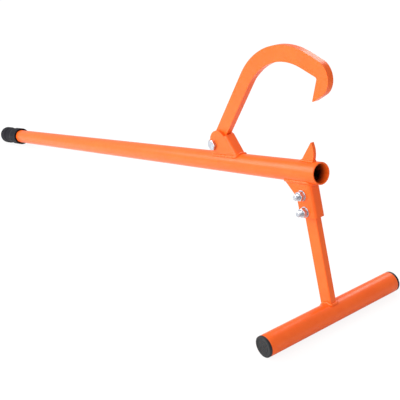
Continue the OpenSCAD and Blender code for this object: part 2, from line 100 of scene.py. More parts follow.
floor_sheet = bpy.data.meshes.new("floor")
floor_half = 12
floor_z = -0.0003
floor_sheet.from_pydata([(x * floor_half, y * floor_half, floor_z)
    for x, y in ((-1, -1), (1, -1), (1, 1), (-1, 1))], [], [(0, 1, 2, 3)])
floor_sheet.materials.append(paper)
floor = bpy.data.objects.new("floor", floor_sheet)
bpy.context.scene.collection.objects.link(floor)

for name, place, aim, size, power in (
        ("key_panel", (0.3, -2.7, 1.3), (0.3, 0, 0.15), (3.0, 2.2), 80),
        ("left_panel", (-0.68, -0.88, 0.92), (0.55, 0, 0.2), (0.9, 0.9), 13),
        ("top_panel", (0.1, 0.95, 1.15), (0.6, 0, 0.02), (0.5, 0.9), 8)):
    panel = bpy.data.lights.new(name, "AREA")
    panel.shape = "RECTANGLE"
    panel.size, panel.size_y = size
    panel.energy = power
    lamp = bpy.data.objects.new(name, panel)
    lamp.location = place
    lamp.rotation_euler = (Vector(aim) - Vector(place)).to_track_quat("-Z", "Y").to_euler()
    bpy.context.scene.collection.objects.link(lamp)

# Handle: one 32 mm welded steel tube with 2 mm walls, cut square, deburred and
# powder coated in orange. The coat reaches a little way into the open end, and
# behind it the bore is bare steel with the seam's bead along it, its colour painted
# near black as painted shade for the dark deep inside the tube.
# Meshes are drawn in mm in the handle's own frame: the open end's centre, +X out of
# the mouth and +Z on the hook's side. This puts them on the ground, in metres.
to_ground = (Matrix.Translation((0.589176, 0, 0.22869)) @ Matrix.Rotation(radians(-9.79444), 4, "Y")
    @ Matrix.Scale(0.001, 4))
tube_r = 16.0
bore_r = 14.0
handle_len = 1230.0
# Rubber behind the tube's closed end
grip_end = 4.0
# The rolled seam's bead: its place round the bore, half its width and its height
seam_angle = 1.9
seam_half_w = 2.2
seam_h = 0.45
# How far the coat reaches into the mouth, and the length over which it ends in bare
# steel painted near black as shade
coat_reach = 7.0
coat_fade = 11.0


def colour(code):
    """A hex colour as the renderer's linear values."""
    parts = [int(code[i:i + 2], 16) / 255 for i in (0, 2, 4)]
    return tuple(c / 12.92 if c <= 0.04045 else ((c + 0.055) / 1.055) ** 2.4 for c in parts) + (1,)


def new_material(name):
    made = bpy.data.materials.new(name)
    made.use_nodes = True
    made.node_tree.nodes.clear()
    return made, made.node_tree


def noise(tree, scale, detail=2.0, rough=0.5):
    """Noise at so many waves a metre, on the piece itself."""
    place = add_node(tree, "ShaderNodeTexCoord").outputs["Object"]
    return add_node(tree, "ShaderNodeTexNoise", {"Vector": place, "Scale": scale,
        "Detail": detail, "Roughness": rough}).outputs["Fac"]


def remap(tree, value, low, high, to_low, to_high):
    return add_node(tree, "ShaderNodeMapRange", {"Value": value, "From Min": low,
        "From Max": high, "To Min": to_low, "To Max": to_high}).outputs["Result"]


def maths(tree, operation, *terms):
    return add_node(tree, "ShaderNodeMath", dict(enumerate(terms)), operation=operation).outputs[0]


def blend_colours(tree, share, first, second):
    mix = add_node(tree, "ShaderNodeMix", {0: share}, data_type="RGBA")
    for socket, value in ((mix.inputs[6], first), (mix.inputs[7], second)):
        if isinstance(value, bpy.types.NodeSocket):
            tree.links.new(value, socket)
        else:
            socket.default_value = value
    return mix.outputs[2]


def edge_share(tree, radius):
    """1 along sharp edges and 0 on flats: how far a round there would turn the face."""
    rounded = add_node(tree, "ShaderNodeBevel", {"Radius": radius}, samples=6).outputs[0]
    flat = add_node(tree, "ShaderNodeNewGeometry").outputs["Normal"]
    same = add_node(tree, "ShaderNodeVectorMath", {0: rounded, 1: flat}, operation="DOT_PRODUCT")
    return remap(tree, same.outputs["Value"], 0.985, 0.85, 0.0, 1.0)


def powder_coat(name, peel=1.0, bare_shaded_inside=False, gloss=0.0):
    """Baked polyester powder: fine orange peel, a slight drift of tone, thin on edges."""
    made, tree = new_material(name)
    drift = noise(tree, 14.0, 3.0)
    cloud = noise(tree, 90.0, 3.0, 0.6)
    speck = noise(tree, 1500.0, 2.0, 0.7)
    base = blend_colours(tree, remap(tree, drift, 0.35, 0.65, 0.0, 1.0),
        colour("F6621B"), colour("F86720"))
    base = blend_colours(tree, remap(tree, cloud, 0.4, 0.75, 0.0, 0.45), base, colour("F35A15"))
    base = blend_colours(tree, remap(tree, speck, 0.62, 0.8, 0.0, 0.25), base, colour("FF8244"))
    thin = maths(tree, "MULTIPLY", edge_share(tree, 0.0008),
        remap(tree, noise(tree, 380.0, 3.0, 0.65), 0.42, 0.62, 0.1, 0.55))
    base = blend_colours(tree, thin, base, colour("D4500F"))
    rough = maths(tree, "ADD", remap(tree, drift, 0.3, 0.7, 0.3 - gloss, 0.36 - gloss),
        remap(tree, cloud, 0.3, 0.7, -0.03, 0.03))
    height = maths(tree, "ADD", noise(tree, 520.0, 1.0),
        maths(tree, "MULTIPLY", noise(tree, 150.0, 1.0), 1.1))
    bump = add_node(tree, "ShaderNodeBump", {"Height": height, "Strength": 0.28 * peel,
        "Distance": 0.0002}).outputs[0]
    # Deep in the bore the coat gives way to bare steel, painted near black as painted shade
    if bare_shaded_inside:
        depth = add_node(tree, "ShaderNodeAttribute", attribute_name="bare_steel").outputs["Fac"]
        patchy = maths(tree, "ADD", depth, maths(tree, "MULTIPLY",
            remap(tree, cloud, 0.3, 0.7, -0.25, 0.25), depth))
        base = blend_colours(tree, remap(tree, patchy, 0.0, 1.0, 0.0, 1.0), base, colour("0B0807"))
        rough = maths(tree, "ADD", rough, maths(tree, "MULTIPLY", depth, 0.25))
    shader = add_node(tree, "ShaderNodeBsdfPrincipled", {"Base Color": base, "Roughness": rough,
        "Normal": bump, "Specular IOR Level": 0.3})
    add_node(tree, "ShaderNodeOutputMaterial", {"Surface": shader.outputs[0]})
    return made


def shown(name, mesh, place=to_ground, smooth=35):
    """A mesh, put in its place and smooth between its sharp edges, as an object."""
    mesh.transform(place)
    mesh.polygons.foreach_set("use_smooth", [True] * len(mesh.polygons))
    mesh.set_sharp_from_angle(angle=radians(smooth))
    piece = bpy.data.objects.new(name, mesh)
    bpy.context.scene.collection.objects.link(piece)
    return piece


def plain_mesh(piece):
    """Takes a piece's modifiers off and leaves what they made."""
    bpy.context.view_layer.update()
    ready = piece.evaluated_get(bpy.context.evaluated_depsgraph_get())
    made = bpy.data.meshes.new_from_object(ready)
    piece.modifiers.clear()
    piece.data = made
    return piece


def fitted(piece, body, finish, *nodes):
    """Makes a finished piece move with its body and hides the solids it stands for. finish is not used.
    """
    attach(piece, body)
    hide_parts(*nodes)


def to_mesh(name, bm, material=None, turn=None):
    bmesh.ops.remove_doubles(bm, verts=bm.verts, dist=1e-4)
    bmesh.ops.recalc_face_normals(bm, faces=bm.faces)
    if turn is not None:
        bm.transform(turn)
    mesh = bpy.data.meshes.new(name)
    bm.to_mesh(mesh)
    bm.free()
    if material:
        mesh.materials.append(material)
    return mesh


def turned(outline, segments, closed=True, radius=None):
    """A shape turned about +X from points of (x, radius). Where radius is given, it
    changes a point's radius by its x, its radius and the angle."""
    bm = bmesh.new()
    rings = []
    for x, r in outline:
        if r < 1e-6:
            rings.append([bm.verts.new((x, 0, 0))])
            continue
        ring = []
        for i in range(segments):
            a = tau * i / segments
            at_x, at_r = radius(x, r, a) if radius else (x, r)
            ring.append(bm.verts.new((at_x, at_r * cos(a), at_r * sin(a))))
        rings.append(ring)
    joined = list(zip(rings, rings[1:])) + ([(rings[-1], rings[0])] if closed else [])
    for a, b in joined:
        for i in range(segments):
            corners = []
            for v in (a[i % len(a)], a[(i + 1) % len(a)] if len(a) > 1 else a[0],
                    b[(i + 1) % len(b)] if len(b) > 1 else b[0], b[i % len(b)]):
                if v not in corners:
                    corners.append(v)
            bm.faces.new(corners)
    return bm


def arc(x, r, radius, start, end, steps):
    """Points of (x, radius) on an arc, its angles in degrees."""
    angles = [radians(start + (end - start) * i / steps) for i in range(steps + 1)]
    return [(x + radius * cos(a), r + radius * sin(a)) for a in angles]


def steps_between(start, end, count):
    return [start + (end - start) * i / count for i in range(count + 1)]


def tube_outline(start, end, rim):
    """Section of the tube's wall from start to end, with its cut edges eased."""
    outline = [(x, tube_r) for x in steps_between(start + rim, end - rim, 24)][1:-1]
    outline += arc(end - rim, tube_r - rim, rim, 90, 0, 4)
    outline += arc(end - rim, bore_r + rim, rim, 0, -90, 4)
    near_end = [end - x for x in (2, 4, 7, 10, 14, 18, 23, 28, 34, 42, 52, 70)]
    outline += [(x, bore_r) for x in near_end]
    outline += [(x, bore_r) for x in steps_between(end - 70, start + rim, 12)][1:-1]
    outline += arc(start + rim, bore_r + rim, rim, -90, -180, 4)
    outline += arc(start + rim, tube_r - rim, rim, 180, 90, 4)
    return outline


def seam_bead(x, r, a):
    """Raises the rolled seam's bead on the wall of the bore."""
    across = bore_r * abs(a - seam_angle)
    if r < bore_r + 0.01 and across < seam_half_w:
        return x, r - seam_h * cos(pi / 2 * across / seam_half_w) ** 2
    return x, r


tube_coat = powder_coat("tube_coat", bare_shaded_inside=True)
tube_mesh = to_mesh("handle_tube", turned(tube_outline(grip_end - handle_len, 0, rim=0.5),
    128, radius=seam_bead), tube_coat)
# 1 deep in the bore, where bare steel is painted near black as painted shade
bare_steel = tube_mesh.attributes.new("bare_steel", "FLOAT", "POINT")
for i, v in enumerate(tube_mesh.vertices):
    inside = hypot(v.co.y, v.co.z) < bore_r + 0.2
    bare_steel.data[i].value = min(max((-v.co.x - coat_reach) / coat_fade, 0), 1) if inside else 0
fitted(shown("handle_tube_coated", tube_mesh), "lifter", "powder_coat", "handle_tube")

# Hook bracket: 4.5 mm steel plate bent into a channel, two cheeks with round tops and
# a web that leans back and stops the hook. Cut on a press, tumbled, welded to the
# tube and coated with it.
orange_coat = powder_coat("orange_coat")


def eased_edges(node, name, width, material):
    """A solid's shape with its sharp edges rounded."""
    bm = bmesh.new()
    bm.from_mesh(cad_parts[node].data)
    bmesh.ops.remove_doubles(bm, verts=bm.verts, dist=2e-6)
    bmesh.ops.dissolve_limit(bm, angle_limit=radians(0.5), verts=bm.verts, edges=bm.edges)
    sharp = [e for e in bm.edges if len(e.link_faces) == 2 and e.calc_face_angle(0) > radians(28)]
    bmesh.ops.bevel(bm, geom=sharp, offset=width / 1000, offset_type="OFFSET", segments=3,
        profile=0.5, affect="EDGES", clamp_overlap=True)
    mesh = bpy.data.meshes.new(name)
    bm.to_mesh(mesh)
    bm.free()
    mesh.materials.append(material)
    piece = shown(name, mesh, Matrix.Identity(4), smooth=38)
    piece.modifiers.new("even_faces", "WEIGHTED_NORMAL").keep_sharp = True
    return plain_mesh(piece)


fitted(eased_edges("hook_bracket", "hook_bracket_channel", 0.5, orange_coat),
    "lifter", "powder_coat", "hook_bracket")

# Hook bracket weld: one MIG bead up each cheek's foot and across the web's, laid in
# steps that show as ripples, brushed, and coated over with the rest.
weld_coat = powder_coat("weld_coat", peel=1.6, gloss=0.04)


def new_tree(name, sizes):
    """A Geometry Nodes tree with named inputs, its input and its output node."""
    tree = bpy.data.node_groups.new(name, "GeometryNodeTree")
    tree.interface.new_socket("Geometry", in_out="INPUT", socket_type="NodeSocketGeometry")
    for label, kind in sizes:
        tree.interface.new_socket(label, in_out="INPUT", socket_type="NodeSocket" + kind)
    tree.interface.new_socket("Geometry", in_out="OUTPUT", socket_type="NodeSocketGeometry")
    return tree, add_node(tree, "NodeGroupInput").outputs


def end_tree(tree, geometry, material):
    real = add_node(tree, "GeometryNodeRealizeInstances", {"Geometry": geometry})
    coated = add_node(tree, "GeometryNodeSetMaterial", {"Geometry": real.outputs[0],
        "Material": material})
    add_node(tree, "NodeGroupOutput", {0: coated.outputs[0]})


def use_tree(piece, tree, **sizes):
    """Puts a tree on a piece, with its inputs set by their identifiers."""
    modifier = piece.modifiers.new(tree.name, "NODES")
    modifier.node_group = tree
    for item in tree.interface.items_tree:
        key = item.name.lower().replace(" ", "_")
        if item.in_out == "INPUT" and key in sizes:
            modifier[item.identifier] = sizes[key]


# A round section runs along the line of a bead. It swells in ripples, wanders a little
# and ends in domes.
bead_tree, given = new_tree("weld_bead", [("Bead radius", "Float"), ("Ripple length", "Float"),
    ("Ripple depth", "Float"), ("Round ends", "Float"), ("Wander", "Float"), ("Seed", "Float"),
    ("Coat", "Material")])
path = add_node(bead_tree, "GeometryNodeMeshToCurve", {"Mesh": given["Geometry"]})
path = add_node(bead_tree, "GeometryNodeResampleCurve", {"Curve": path.outputs[0],
    "Length": maths(bead_tree, "DIVIDE", given["Ripple length"], 6.0)}, mode="LENGTH")
along = add_node(bead_tree, "GeometryNodeSplineParameter").outputs["Length"]
whole = add_node(bead_tree, "GeometryNodeSplineLength").outputs["Length"]
swell = add_node(bead_tree, "ShaderNodeTexNoise", {"W": maths(bead_tree, "MULTIPLY_ADD", along,
    0.16, given["Seed"]), "Detail": 2.0}, noise_dimensions="1D").outputs["Fac"]
stagger = maths(bead_tree, "MULTIPLY_ADD", swell, 1.6, maths(bead_tree, "DIVIDE", along,
    given["Ripple length"]))
crest = maths(bead_tree, "SINE", maths(bead_tree, "MULTIPLY", maths(bead_tree, "POWER",
    maths(bead_tree, "FRACT", stagger), 0.55), pi))
girth = maths(bead_tree, "MULTIPLY_ADD", crest, given["Ripple depth"],
    maths(bead_tree, "MULTIPLY_ADD", swell, 0.3, 0.78))
to_end = maths(bead_tree, "DIVIDE", maths(bead_tree, "MINIMUM", along,
    maths(bead_tree, "SUBTRACT", whole, along)), given["Bead radius"])
dome = maths(bead_tree, "SUBTRACT", 1.0, maths(bead_tree, "MINIMUM", to_end, 1.0))
dome = maths(bead_tree, "SQRT", maths(bead_tree, "SUBTRACT", 1.03,
    maths(bead_tree, "MULTIPLY", maths(bead_tree, "MULTIPLY", dome, dome), given["Round ends"])))
path = add_node(bead_tree, "GeometryNodeSetCurveRadius", {"Curve": path.outputs[0],
    "Radius": maths(bead_tree, "MULTIPLY", girth, dome)})
spot = add_node(bead_tree, "GeometryNodeInputPosition").outputs[0]
shake = add_node(bead_tree, "ShaderNodeTexNoise", {"Vector": spot, "W": given["Seed"],
    "Scale": 0.3, "Detail": 1.0}, noise_dimensions="4D").outputs["Color"]
shake = add_node(bead_tree, "ShaderNodeVectorMath", {0: shake, 1: (0.5, 0.5, 0.5)},
    operation="SUBTRACT").outputs[0]
shake = add_node(bead_tree, "ShaderNodeVectorMath", {0: shake, "Scale": given["Wander"]},
    operation="SCALE").outputs[0]
path = add_node(bead_tree, "GeometryNodeSetPosition", {"Geometry": path.outputs[0], "Offset": shake})
section = add_node(bead_tree, "GeometryNodeCurvePrimitiveCircle", {"Resolution": 18,
    "Radius": given["Bead radius"]})
bead = add_node(bead_tree, "GeometryNodeCurveToMesh", {"Curve": path.outputs[0],
    "Profile Curve": section.outputs[0], "Fill Caps": True})
bead = add_node(bead_tree, "GeometryNodeSetShadeSmooth", {0: bead.outputs[0]})
end_tree(bead_tree, bead.outputs[0], given["Coat"])


def weld(name, line, radius, ripple, seed, closed=False):
    """A bead laid along a line of points."""
    mesh = bpy.data.meshes.new(name)
    edges = [(i, i + 1) for i in range(len(line) - 1)] + ([(len(line) - 1, 0)] if closed else [])
    mesh.from_pydata(line, edges, [])
    piece = bpy.data.objects.new(name, mesh)
    bpy.context.scene.collection.objects.link(piece)
    use_tree(piece, bead_tree, bead_radius=radius, ripple_length=ripple, ripple_depth=0.16,
        round_ends=0.0 if closed else 1.0, wander=0.5, seed=seed, coat=weld_coat)
    plain_mesh(piece)
    made = bmesh.new()
    made.from_mesh(piece.data)
    bpy.data.objects.remove(piece)
    return shown(name, to_mesh(name, made, weld_coat), smooth=60)


# A bead's middle stands off the tube and off the plate, so that it fills their corner
# without reaching through the tube's wall
bead_lift = 0.6
bead_off = 0.5


def channel_foot(half, bend_r, back, on_tube):
    """The line where a channel meets the tube: along one cheek, round the two bends and
    along the other. half is half the channel's width, and back is where its cheeks end."""
    half, bend_r, back = half + bead_off, bend_r + bead_off, back + bead_off
    outline = [(d, -half) for d in steps_between(back, bend_r, 12)]
    outline += [(bend_r - bend_r * sin(radians(a)), bend_r - half - bend_r * cos(radians(a)))
        for a in range(15, 90, 15)]
    outline += [(0, y) for y in steps_between(bend_r - half, half - bend_r, 4)]
    outline += [(bend_r - bend_r * cos(radians(a)), half - bend_r + bend_r * sin(radians(a)))
        for a in range(15, 90, 15)]
    outline += [(d, half) for d in steps_between(bend_r, back, 12)]
    return [on_tube(depth - bead_off, y) for depth, y in outline]


web_lean = radians(33)
web_foot_x = -175.25


def on_hook_side(depth, y):
    """Where the channel's wall, depth behind its web's face, meets the tube."""
    z = sqrt((tube_r + bead_lift) ** 2 - y ** 2)
    return web_foot_x - (depth + (z - tube_r) * sin(web_lean)) / cos(web_lean), y, z


fitted(weld("hook_bracket_bead", channel_foot(10.0, 5.0, 52.5, on_hook_side),
    radius=2.2, ripple=1.8, seed=3.0), "lifter", "weld_coat", "hook_bracket_weld")

# Spike: a tooth of 5 mm steel plate with a curved front, flame cut and dressed, that
# bites into the log. It stands on the tube's top line behind the mouth.
fitted(eased_edges("spike", "spike_tooth", 0.45, orange_coat), "lifter", "powder_coat", "spike")

# Spike weld: a small bead all the way round the tooth's foot.
spike_front = -11.6
spike_back = spike_front - 23.5
# How far the bead bulges past each end of the foot
spike_end = 0.6


def round_spike(half, steps):
    """The tooth's foot on the tube, gone round once."""
    outline = [(x, -half) for x in steps_between(spike_back, spike_front, 10)]
    outline += [(spike_front + spike_end * cos(a), half * sin(a)) for a in
        (pi * i / steps - pi / 2 for i in range(1, steps))]
    outline += [(x, half) for x in steps_between(spike_front, spike_back, 10)]
    outline += [(spike_back - spike_end * cos(a), -half * sin(a)) for a in
        (pi * i / steps - pi / 2 for i in range(1, steps))]
    return [(x, y, sqrt((tube_r + bead_lift) ** 2 - y ** 2)) for x, y in outline]


fitted(weld("spike_bead", round_spike(half=2.6, steps=6), radius=1.6, ripple=1.5, seed=8.0,
    closed=True), "lifter", "weld_coat", "spike_weld")

# Leg bracket: 4.5 mm plate bent into a channel that holds the leg between its cheeks.
# The cheeks slant back under the tube, and each has a hole for each bolt.
fitted(eased_edges("leg_bracket", "leg_bracket_channel", 0.4, orange_coat),
    "lifter", "powder_coat", "leg_bracket")

# Leg bracket weld: a bead along each cheek under the tube and across the web.
leg_lean = radians(3.7)
leg_back = 33.0
leg_line = Matrix.Translation((-leg_back, 0, 0)) @ Matrix.Rotation(-leg_lean, 4, "Y")
leg_web_front = 16.0


def on_leg_side(depth, y):
    """Where the leg's channel, depth behind its web's face, meets the tube."""
    ahead = leg_web_front - depth
    down = (-sqrt((tube_r + bead_lift) ** 2 - y ** 2) - ahead * sin(leg_lean)) / cos(leg_lean)
    return tuple(leg_line @ Vector((ahead, y, down)))


fitted(weld("leg_bracket_bead", channel_foot(10.05, 5.5, leg_web_front + 33.5, on_leg_side),
    radius=2.2, ripple=1.8, seed=12.0), "lifter", "weld_coat", "leg_bracket_weld")

# Leg: a bar of 22 x 11 mm steel with eased edges, cross drilled for two bolts. Its
# foot is coped to sit on the cross bar.
fitted(eased_edges("leg", "leg_bar", 0.35, orange_coat), "lifter", "powder_coat", "leg")

# Cross bar: a short length of the handle's tube, cut square and coated. It lies on
# the ground and keeps the leg from sinking in.
bar_x = -16.43
bar_drop = 213.0
bar_tube_len = 258.0
along_bar = Matrix.Translation((bar_x, 0, -bar_drop)) @ Matrix.Rotation(pi / 2, 4, "Z")
bar_mesh = to_mesh("cross_bar", turned(tube_outline(-bar_tube_len / 2, bar_tube_len / 2,
    rim=0.7), 128, radius=seam_bead), orange_coat, turn=along_bar)
fitted(shown("cross_bar_coated", bar_mesh), "lifter", "powder_coat", "cross_bar")

# Leg weld: one bead round the leg's foot, over the top of the cross bar.
foot_half_w = 11.0 + bead_off
foot_half_t = 5.5 + bead_off
foot_edge_r = 1.2 + bead_off
bar_in_leg = leg_line.inverted() @ Vector((bar_x, 0, -bar_drop))


def round_leg(steps):
    """The leg's outline on the cross bar, gone round once."""
    outline = []
    for side_x, side_y, start in ((1, -1, -90), (1, 1, 0), (-1, 1, 90), (-1, -1, 180)):
        outline += [(side_x * (foot_half_w - foot_edge_r) + foot_edge_r * cos(radians(start + 30 * i)),
            side_y * (foot_half_t - foot_edge_r) + foot_edge_r * sin(radians(start + 30 * i)))
            for i in range(4)]
        x, y = outline[-1]
        to_x, to_y = ((x, -y) if side_x * side_y < 0 else (-x, y))
        outline += [(x + (to_x - x) * i / steps, y + (to_y - y) * i / steps) for i in range(1, steps)]
    around = tube_r + bead_lift
    return [tuple(leg_line @ Vector((x, y, bar_in_leg.z + sqrt(around ** 2 - (x - bar_in_leg.x) ** 2))))
        for x, y in outline]


fitted(weld("leg_bead", round_leg(steps=8), radius=2.2, ripple=1.8, seed=21.0, closed=True),
    "lifter", "weld_coat", "leg_weld")

# Hook: 10 mm plate, flame cut, its edges dressed by hand, with a reamed eye that turns
# on the pivot bolt. Coated on its own before it is bolted in.
hook_coat = powder_coat("hook_coat", peel=1.2)
fitted(eased_edges("hook", "hook_plate", 0.8, hook_coat), "hook", "powder_coat", "hook")

# Pivot bolt, washer and nut: an M10 hex bolt through the cheeks and the hook's eye,
# with a flat washer and a nut on the far side. Zinc plated, bright and a little blue.
pivot_line = Matrix.Translation((-232, -10, 30)) @ Matrix.Rotation(-pi / 2, 4, "X")


def zinc_plate(name):
    made, tree = new_material(name)
    cloud = noise(tree, 120.0, 3.0, 0.6)
    fine = noise(tree, 1400.0, 2.0, 0.6)
    base = blend_colours(tree, remap(tree, cloud, 0.35, 0.65, 0.0, 1.0),
        colour("CDD0D6"), colour("B4B9C3"))
    base = blend_colours(tree, remap(tree, cloud, 0.6, 0.75, 0.0, 0.5), base, colour("CBC4AE"))
    base = blend_colours(tree, edge_share(tree, 0.0005), base, colour("8F939B"))
    rough = maths(tree, "ADD", remap(tree, cloud, 0.3, 0.7, 0.3, 0.42),
        remap(tree, fine, 0.3, 0.7, -0.04, 0.06))
    bump = add_node(tree, "ShaderNodeBump", {"Height": fine, "Strength": 0.15,
        "Distance": 0.0001}).outputs[0]
    shader = add_node(tree, "ShaderNodeBsdfPrincipled", {"Base Color": base, "Metallic": 1.0,
        "Roughness": rough, "Normal": bump})
    add_node(tree, "ShaderNodeOutputMaterial", {"Surface": shader.outputs[0]})
    return made


zinc = zinc_plate("zinc_plate")


def hex_radius(af, low, high):
    """A hexagon's radius by angle, its ends cut by 30 degree cones from low to high."""
    def at(x, r, a):
        flat = af / 2 / cos((a + pi / 6) % (pi / 3) - pi / 6)
        full = min(flat, 1.135 * af / 2)
        if r < 1:
            return x, r * af / 2
        drop = max(full - 0.95 * af / 2, 0) * tan(radians(30))
        if x == low:
            return low + drop, full
        if x == high:
            return high - drop, full
        return x, full
    return at


def hex_head(height, af, hole_r=0.0, both_ends=False):
    """A hex along +X from 0 to height. A radius of 1 or more here means the hexagon,
    and less is a share of half its width."""
    washer_face = 0.0 if both_ends else 0.35
    low, high = 0.0, height
    outline = [(low, 0.95)] if both_ends else [(low, 0.0), (low, 0.9), (washer_face, 0.9)]
    outline += [(low if both_ends else washer_face + 0.01, 1.0), (height / 2, 1.0), (high, 1.0),
        (high, 0.95)]
    if hole_r:
        rim = (hole_r + 0.55) / (af / 2)
        hole = hole_r / (af / 2)
        outline += [(high, rim), (high - 0.6, hole), (low + 0.6, hole), (low, rim)]
        return turned(outline, 72, radius=hex_radius(af, low, high))
    outline += [(high - 0.12, 0.6), (high - 0.15, 0.0)]
    return turned(outline, 72, closed=False, radius=hex_radius(af, low if both_ends else -1, high))


def threaded_shank(length, r, chamfer, thread_from, pitch):
    """A rod along +X with rings close enough for a thread from thread_from on."""
    fine = int((length - thread_from) / pitch * 8)
    outline = [(-0.2, 0), (-0.2, r)] + [(x, r) for x in steps_between(0, thread_from, 4)]
    outline += [(x, r) for x in steps_between(thread_from, length - 0.01, fine)][1:]
    outline = [(x, min(rr, r - chamfer + (length - x))) for x, rr in outline]
    return turned(outline + [(length, r - chamfer - 0.2), (length, 0)], 40, closed=False)


# Cuts a thread into a bolt's shank, and leaves its head alone
thread_tree, given = new_tree("rolled_thread", [("Shank radius", "Float"), ("Pitch", "Float"),
    ("Depth", "Float"), ("Thread from", "Float")])
spot = add_node(thread_tree, "ShaderNodeSeparateXYZ",
    {0: add_node(thread_tree, "GeometryNodeInputPosition").outputs[0]}).outputs
off_axis = maths(thread_tree, "SQRT", maths(thread_tree, "ADD",
    maths(thread_tree, "MULTIPLY", spot["Y"], spot["Y"]),
    maths(thread_tree, "MULTIPLY", spot["Z"], spot["Z"])))
lead = maths(thread_tree, "SUBTRACT", maths(thread_tree, "DIVIDE", spot["X"], given["Pitch"]),
    maths(thread_tree, "DIVIDE", maths(thread_tree, "ARCTAN2", spot["Z"], spot["Y"]), tau))
flank = maths(thread_tree, "PINGPONG", lead, 0.5)
groove = remap(thread_tree, flank, 0.07, 0.42, 0.0, 1.0)
run_in = remap(thread_tree, maths(thread_tree, "SUBTRACT", spot["X"], given["Thread from"]),
    0.0, 1.2, 0.0, 1.0)
cut_r = maths(thread_tree, "SUBTRACT", given["Shank radius"], maths(thread_tree, "MULTIPLY",
    maths(thread_tree, "MULTIPLY", groove, given["Depth"]), run_in))
share = maths(thread_tree, "DIVIDE", maths(thread_tree, "MINIMUM", off_axis, cut_r),
    maths(thread_tree, "MAXIMUM", off_axis, 0.001))
is_shank = maths(thread_tree, "LESS_THAN", off_axis,
    maths(thread_tree, "ADD", given["Shank radius"], 0.001))
moved = add_node(thread_tree, "ShaderNodeCombineXYZ", {"X": spot["X"],
    "Y": maths(thread_tree, "MULTIPLY", spot["Y"], share),
    "Z": maths(thread_tree, "MULTIPLY", spot["Z"], share)}).outputs[0]
threaded = add_node(thread_tree, "GeometryNodeSetPosition", {"Geometry": given["Geometry"],
    "Selection": is_shank, "Position": moved})
add_node(thread_tree, "NodeGroupOutput", {0: threaded.outputs[0]})

# Sets a fastener out in a row, each one turned a little further than the last
row_tree, given = new_tree("fastener_row", [("Count", "Int"), ("Spacing", "Vector"),
    ("Turn each", "Float"), ("Finish", "Material")])
spots = add_node(row_tree, "GeometryNodeMeshLine", {"Count": given["Count"],
    "Offset": given["Spacing"]})
set_out = add_node(row_tree, "GeometryNodeInstanceOnPoints", {"Points": spots.outputs[0],
    "Instance": given["Geometry"]})
twist = add_node(row_tree, "ShaderNodeCombineXYZ", {"X": maths(row_tree, "MULTIPLY",
    add_node(row_tree, "GeometryNodeInputIndex").outputs[0], given["Turn each"])})
set_out = add_node(row_tree, "GeometryNodeRotateInstances", {"Instances": set_out.outputs[0],
    "Rotation": twist.outputs[0], "Local Space": True})
end_tree(row_tree, set_out.outputs[0], given["Finish"])


def fasteners(name, parts, place, count=1, spacing=(0, 0, 0), turn_each=0.0, thread=None):
    """Fasteners along +X set out in a row, then turned to their place."""
    whole = bmesh.new()
    for bm in parts:
        mesh = to_mesh(name, bm)
        whole.from_mesh(mesh)
    mesh = bpy.data.meshes.new(name)
    whole.to_mesh(mesh)
    whole.free()
    piece = bpy.data.objects.new(name, mesh)
    bpy.context.scene.collection.objects.link(piece)
    if thread:
        use_tree(piece, thread_tree, **thread)
    use_tree(piece, row_tree, count=count, spacing=spacing, turn_each=turn_each, finish=zinc)
    plain_mesh(piece)
    made = piece.data
    bpy.data.objects.remove(piece)
    return shown(name, made, to_ground @ place, smooth=30)


def moved_by(bm, matrix):
    bm.transform(matrix)
    return bm


def flat_washer(start, thick, hole_r, outer_r):
    """A stamped washer: one face with rolled edges, the other with sharp ones."""
    outline = [(start, hole_r + 0.1), (start + 0.1, hole_r), (start + thick - 0.25, hole_r)]
    outline += [(start + thick, hole_r + 0.25), (start + thick, outer_r - 0.35)]
    outline += arc(start + thick - 0.35, outer_r - 0.35, 0.35, 90, 0, 4)[::-1]
    outline += [(start + 0.1, outer_r), (start, outer_r - 0.1)]
    return turned(outline, 72)


behind = Matrix.Rotation(pi, 4, "Z")
# Turns a fastener's +X onto the +Z of the bolt's line
bolt_up = Matrix.Rotation(-pi / 2, 4, "Y")
m10_r = 4.98
m10_pitch = 1.5
m10_hex = 16
pivot_shank = threaded_shank(34, m10_r, 0.8, 20.5, m10_pitch)
fitted(fasteners("pivot_bolt_m10", [moved_by(hex_head(5, m10_hex), behind), pivot_shank],
    pivot_line @ bolt_up, thread=dict(shank_radius=m10_r, pitch=m10_pitch, depth=0.9,
    thread_from=22.5)), "lifter", "zinc", "pivot_bolt")
fitted(fasteners("pivot_washer_m10", [flat_washer(20, 2, 5.2, 10)], pivot_line @ bolt_up),
    "lifter", "zinc", "pivot_washer")
fitted(fasteners("pivot_nut_m10", [moved_by(hex_head(8, m10_hex, 5.03, both_ends=True),
    Matrix.Translation((22, 0, 0)))], pivot_line @ bolt_up), "lifter", "zinc", "pivot_nut")

# Leg bolts, washers and nuts: two M8 hex bolts hold the leg in its bracket, with a
# washer under each head and each nut. Their threads stand out past the nuts.
leg_bolts_line = (leg_line @ Matrix.Translation((-3, 11.65, -32.5)) @ Matrix.Rotation(pi / 2, 4, "X")
    @ bolt_up)
# The second bolt is 24.4 mm further down the leg
down_leg = leg_bolts_line.inverted().to_3x3() @ (leg_line.to_3x3() @ Vector((0, 0, -24.4)))
m8_r = 3.98
m8_pitch = 1.25
m8_hex = 13
m8_washer_t = 1.6
near_washer = 21.7
fitted(fasteners("leg_bolts_m8", [moved_by(hex_head(5.3, m8_hex), behind),
    threaded_shank(36.8, m8_r, 0.8, 23.5, m8_pitch)], leg_bolts_line, 2, down_leg, 0.4,
    dict(shank_radius=m8_r, pitch=m8_pitch, depth=0.72, thread_from=24.5)),
    "lifter", "zinc", "leg_bolts")
fitted(fasteners("leg_washers_m8", [flat_washer(start, m8_washer_t, 4.2, 8)
    for start in (0, near_washer)], leg_bolts_line, 2, down_leg), "lifter", "zinc", "leg_washers")
